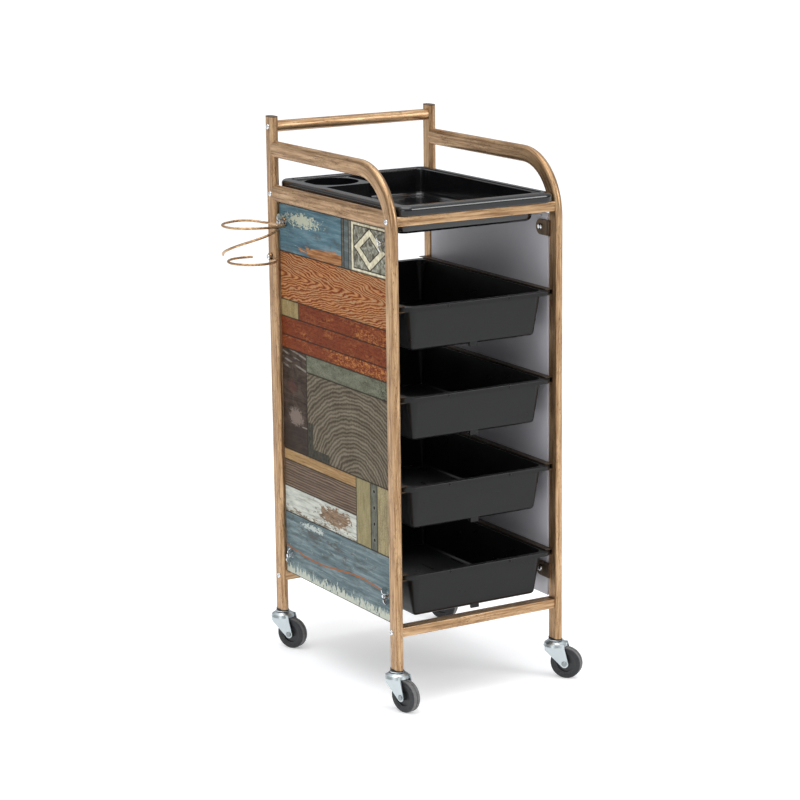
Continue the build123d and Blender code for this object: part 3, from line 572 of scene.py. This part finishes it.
def white_board(name):
    g = Board(name)
    streak = g.noise((60.0, 50.0, 5.0), 2.2, 6.0, 0.64, 0.4)
    colour = g.ramp(streak, (0.32, (150, 150, 142)), (0.46, (188, 191, 181)), (0.62, (212, 213, 203)))
    wood = g.ramp(g.noise((26.0, 24.0, 3.0), 6.6, 5.0, 0.6, 0.6), (0.34, (98, 80, 64)),
            (0.5, (132, 108, 86)), (0.68, (164, 142, 120)))
    zone = g.times(g.blob(6.0, 264.0, 66.0, 20.0), 0.42)
    colour = flake(g, colour, wood, zone, (26.0, 22.0, 7.0), 3.1, 0.6, 0.64)
    lower = g.times(g.step(g.z, 256.0, 243.0), 0.14)
    colour = flake(g, colour, (126, 116, 100), lower, (20.0, 18.0, 4.0), 8.4, 0.6, 0.66)
    colour = flake(g, colour, (98, 88, 76), 0.0, (12.0, 10.0, 2.0), 5.6, 0.66, 0.71)
    return g.done(colour, streak)


def olive(name, seed, stops):
    g = Board(name)
    streak = g.noise((3.0, 2.6, 34.0), seed, 5.0, 0.6, 0.3)
    speck = g.noise((2.6, 2.6, 2.6), seed + 1.0, 5.0, 0.68)
    stain = g.noise((18.0, 16.0, 26.0), seed + 2.0, 4.0, 0.6)
    value = g.math("MULTIPLY_ADD", speck, 0.35, g.math("MULTIPLY_ADD", stain, 0.35, g.times(streak, 0.3)))
    return g.done(g.ramp(value, *stops), value)


def metal_strip(name):
    g = Board(name)
    rust = g.noise((6.0, 5.0, 12.0), 4.3, 6.0, 0.64, 0.5)
    fine = g.noise((1.4, 1.2, 9.0), 1.8, 4.0)
    colour = g.ramp(g.math("MULTIPLY_ADD", fine, 0.4, g.times(rust, 0.6)), (0.34, (70, 71, 61)),
            (0.5, (104, 105, 94)), (0.68, (126, 128, 116)))
    pitch = 25.6
    place = g.math("DIVIDE", g.math("SUBTRACT", g.z, 334.5 - 4 * pitch), pitch)
    drop = g.math("SUBTRACT", place, g.math("ROUND", place))
    away = g.vector("LENGTH", g.combine(g.math("ADD", g.y, 117.5), g.times(drop, pitch), 0.0))
    hole = g.math("SUBTRACT", 1.0, g.step(away, 2.4, 3.2))
    ring = g.math("SUBTRACT", 1.0, g.step(away, 3.2, 4.6))
    colour = g.mix(colour, (150, 148, 134), g.times(ring, 0.5))
    return g.done(g.mix(colour, (32, 30, 26), hole), rust, 1.6)


def lozenge(name):
    """A crate end: a pale weathered frame with a lozenge, outlined in black."""
    g = Board(name)
    r, f, lo, hi = boards[name]
    cy, cz, hy, hz = (r + f) / 2, (lo + hi) / 2, (r - f) / 2, (hi - lo) / 2
    wear = g.noise((14.0, 12.0, 12.0), 3.0, 6.0, 0.66, 0.5)
    grain = g.noise((2.6, 2.2, 12.0), 6.0, 4.0)
    pale = g.ramp(g.math("MULTIPLY_ADD", grain, 0.35, g.times(wear, 0.65)), (0.32, (128, 124, 108)),
            (0.46, (176, 173, 154)), (0.64, (212, 210, 194)))
    dull = g.ramp(g.noise((10.0, 9.0, 9.0), 8.0, 6.0, 0.66, 0.6), (0.36, (62, 59, 52)),
            (0.5, (112, 112, 104)), (0.66, (160, 164, 158)))
    wob = g.times(g.math("SUBTRACT", g.noise((9.0, 9.0, 9.0), 5.0), 0.5), 0.1)
    ay = g.math("ABSOLUTE", g.math("DIVIDE", g.math("SUBTRACT", g.y, cy), hy))
    az = g.math("ABSOLUTE", g.math("DIVIDE", g.math("SUBTRACT", g.z, cz), hz))
    ring = g.math("ADD", g.math("ADD", ay, az), wob)
    side = g.math("ADD", g.math("MAXIMUM", ay, az), g.times(wob, 0.5))
    band = g.times(g.step(ring, 0.48, 0.5), g.math("SUBTRACT", 1.0, g.step(ring, 0.84, 0.86)))
    border = g.step(side, 0.84, 0.86)
    colour = g.mix(dull, pale, g.math("MAXIMUM", band, border))
    for field, edge, half in ((ring, 0.49, 0.045), (ring, 0.85, 0.045), (side, 0.85, 0.032)):
        line = g.math("SUBTRACT", 1.0,
                g.step(g.math("ABSOLUTE", g.math("SUBTRACT", field, edge)), half * 0.55, half))
        if field is ring:
            line = g.times(line, g.math("SUBTRACT", 1.0, g.step(side, 0.83, 0.86)))
        colour = g.mix(colour, (40, 36, 30), g.times(line, 0.92))
    return g.done(colour, wear, 1.8)


prints = {
    "blue_top": painted("blue_top", (66, 92, 104), (92, 124, 136), (126, 152, 160), top_flakes),
    "strip_dark": long_grain("strip_dark", 2.0, ((0.36, (70, 68, 62)), (0.62, (112, 109, 100))), 3.0),
    "strip_blue": long_grain("strip_blue", 5.0,
        ((0.36, (80, 90, 92)), (0.52, (98, 107, 106)), (0.66, (126, 138, 138))), 6.0),
    "strip_pale": long_grain("strip_pale", 8.0, ((0.36, (88, 90, 84)), (0.62, (138, 142, 134))), 5.0),
    "lozenge": lozenge("lozenge"),
    "orange_wavy": wavy_orange("orange_wavy"),
    "yellow_block": olive("yellow_block", 3.0,
        ((0.36, (104, 86, 50)), (0.48, (148, 128, 86)), (0.62, (176, 160, 114)))),
    "red_upper": chatoyant("red_upper", 2.0, 0.1),
    "red_middle": chatoyant("red_middle", 6.0, 0.05),
    "red_lower": chatoyant("red_lower", 11.0, 0.3),
    "dark_block": dark_block("dark_block"),
    "green_strip": green_strip("green_strip"),
    "grey_curved": curved_grey("grey_curved"),
    "ochre": long_grain("ochre", 4.0,
        ((0.32, (112, 80, 48)), (0.45, (158, 124, 82)), (0.6, (186, 154, 110)), (0.72, (200, 174, 134))), 4.0),
    "striped": long_grain("striped", 9.0,
        ((0.3, (62, 49, 41)), (0.48, (92, 77, 67)), (0.66, (128, 112, 98))), 2.2, 4.4),
    "white_flaked": white_board("white_flaked"),
    "olive": olive("olive", 5.0, ((0.36, (126, 115, 80)), (0.5, (152, 141, 104)), (0.64, (176, 164, 126)))),
    "metal_strip": metal_strip("metal_strip"),
    "olive_front": olive("olive_front", 7.0,
        ((0.34, (112, 100, 76)), (0.48, (148, 135, 102)), (0.64, (196, 183, 138)))),
    "blue_bottom": painted("blue_bottom", (82, 98, 104), (112, 130, 134), (146, 162, 164), bottom_flakes),
}


def film(side, name, bolt_boxes):
    """The print on a panel's outer face: a thin sheet cut along the boards' edges, open round the nuts."""
    lo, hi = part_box(f"{name}_panel")
    points, edges, holes = [], [], []

    def loop(ring):
        start = len(points)
        points.extend(Vector(p) for p in ring)
        edges.extend((start + i, start + (i + 1) % len(ring)) for i in range(len(ring)))

    for r, f, low, high in boards.values():
        loop([(f, low), (r, low), (r, high), (f, high)])
    for centre, radius in bolt_boxes:
        y, z = centre[0] - y_mid, centre[1] - lift
        holes.append((Vector((y, z)), radius))
        turns = [math.tau * i / 40 for i in range(40)]
        loop([(y + radius * math.cos(a), z + radius * math.sin(a)) for a in turns])
    made = delaunay_2d_cdt(points, edges, [], 0, 1e-5)
    outline, faces = made[0], made[2]
    names = list(boards)
    kept, kinds = [], []
    for face in faces:
        middle = sum((outline[i] for i in face), Vector((0, 0))) / len(face)
        if any((middle - c).length < r for c, r in holes):
            continue
        for index, board in enumerate(names):
            r, f, low, high = boards[board]
            if f <= middle.x <= r and low <= middle.y <= high:
                kept.append(face if side < 0 else list(reversed(face)))
                kinds.append(index)
                break
    x = lo.x - 0.00015 if side < 0 else hi.x + 0.00015
    mesh = bpy.data.meshes.new(f"{name}_panel_print")
    mesh.from_pydata([(x, (p.x + y_mid) / 1000.0, (p.y + lift) / 1000.0) for p in outline], [], kept)
    for board in names:
        mesh.materials.append(prints[board])
    mesh.polygons.foreach_set("material_index", kinds)
    mesh.validate()
    piece = bpy.data.objects.new(f"{name}_panel_print", mesh)
    bpy.context.scene.collection.objects.link(piece)
    thick = piece.modifiers.new("thickness", "SOLIDIFY")
    thick.thickness = 0.00014
    thick.offset = -1.0
    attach(piece, nodes[f"{name}_panel"]["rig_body"])
    return piece


def nut_places(side):
    """Centres (y, z) of the wing nuts on one side, from the node's vertices gathered into groups within 60 mm.
    """
    data = nodes["wing_nuts"].data
    linked = {v.index: v.index for v in data.vertices}

    def root(i):
        while linked[i] != i:
            linked[i] = linked[linked[i]]
            i = linked[i]
        return i

    for e in data.edges:
        a, b = root(e.vertices[0]), root(e.vertices[1])
        linked[a] = b
    seen = []
    for v in data.vertices:
        if v.co.x * side > 0:
            spot = Vector((v.co.y * 1000.0, v.co.z * 1000.0))
            for group in seen:
                if (group[0] - spot).length < 60.0:
                    group.append(spot)
                    break
            else:
                seen.append([spot])
    out = []
    for group in seen:
        ys, zs = [p.x for p in group], [p.y for p in group]
        out.append((((min(ys) + max(ys)) / 2, (min(zs) + max(zs)) / 2), 5.2))
    return out


for side, name in ((-1, "left"), (1, "right")):
    film(side, name, nut_places(side))


# ------------------------------------------------------------- room and lights
def floor():
    g = Graph("pale_floor")
    cloud = g.noise((700.0, 700.0, 700.0), 1.0, 3.0)
    g.set(Base_Color=g.ramp(cloud, (0.3, (240, 240, 241)), (0.7, (246, 246, 246))), Roughness=0.7)
    g.shader.inputs["Specular IOR Level"].default_value = 0.2
    g.shader.inputs["Emission Color"].default_value = (1.0, 1.0, 1.0, 1.0)
    g.shader.inputs["Emission Strength"].default_value = 0.3
    mesh = bpy.data.meshes.new("floor")
    size = 30.0
    mesh.from_pydata([(-size, -size, 0), (size, -size, 0), (size, size, 0), (-size, size, 0)], [],
            [(0, 1, 2, 3)])
    mesh.materials.append(g.material)
    plane = bpy.data.objects.new("floor", mesh)
    bpy.context.scene.collection.objects.link(plane)


def area_light(name, place, aim, size, power, colour=(1.0, 1.0, 1.0)):
    data = bpy.data.lights.new(name, "AREA")
    data.shape = "RECTANGLE"
    data.size, data.size_y = size
    data.energy = power
    data.color = colour
    lamp = bpy.data.objects.new(name, data)
    lamp.location = place
    lamp.rotation_mode = "QUATERNION"
    lamp.rotation_quaternion = (Vector(aim) - Vector(place)).to_track_quat("-Z", "Y")
    bpy.context.scene.collection.objects.link(lamp)


floor()
world = bpy.data.worlds.new("studio")
world.use_nodes = True
sky = world.node_tree.nodes
sky_links = world.node_tree.links
direction = sky.new("ShaderNodeTexCoord")
height = sky.new("ShaderNodeSeparateXYZ")
level = sky.new("ShaderNodeMapRange")
for socket, number in zip(list(level.inputs)[1:5], (0.0, 1.0, 0.14, 1.3)):
    socket.default_value = number
sky_links.new(direction.outputs["Generated"], height.inputs[0])
sky_links.new(height.outputs[2], level.inputs[0])
sky_links.new(level.outputs[0], sky["Background"].inputs[1])
sky["Background"].inputs[0].default_value = (0.96, 0.98, 1.0, 1.0)
bpy.context.scene.world = world
area_light("overhead", (-0.3, -0.4, 2.9), (0.0, 0.0, 0.5), (2.2, 2.2), 36.0)
area_light("key", (2.2, -3.2, 2.3), (0.0, 0.0, 0.45), (1.5, 1.7), 54.0)
area_light("fill", (-3.0, -1.8, 1.5), (0.0, 0.0, 0.45), (1.6, 1.6), 13.0)
bpy.context.scene.view_settings.view_transform = "Standard"


# --------------------------------------------------------------------- camera
camera_turn = (-30.41, 12.64, -0.714)  # azimuth, elevation and roll, degrees
camera_distance = 3.951
camera_lens = 116.42  # mm, on a sensor 36 mm wide
aim_offset = (-0.0859, -0.1031)  # of the aim, from the middle between the four posts
aim_height = 0.4609


def camera():
    azimuth, elevation, roll = (math.radians(angle) for angle in camera_turn)
    back = Vector((math.sin(azimuth) * math.cos(elevation), -math.cos(azimuth) * math.cos(elevation),
            math.sin(elevation)))
    right = Vector((0, 0, 1)).cross(back).normalized()
    up = back.cross(right)
    x = right * math.cos(roll) + up * math.sin(roll)
    y = up * math.cos(roll) - right * math.sin(roll)
    turn = Matrix((x, y, back)).transposed().to_4x4()
    data = bpy.data.cameras.new("camera")
    data.lens = camera_lens
    data.sensor_width = 36.0
    data.clip_start, data.clip_end = 0.05, 100.0
    eye = bpy.data.objects.new("camera", data)
    middle_x = (panel_lo.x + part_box("right_panel")[1].x) / 2
    target = Vector((middle_x + aim_offset[0], y_mid / 1000.0 + aim_offset[1], aim_height))
    eye.matrix_world = Matrix.Translation(target + back * camera_distance) @ turn
    bpy.context.scene.collection.objects.link(eye)
    bpy.context.scene.camera = eye


camera()
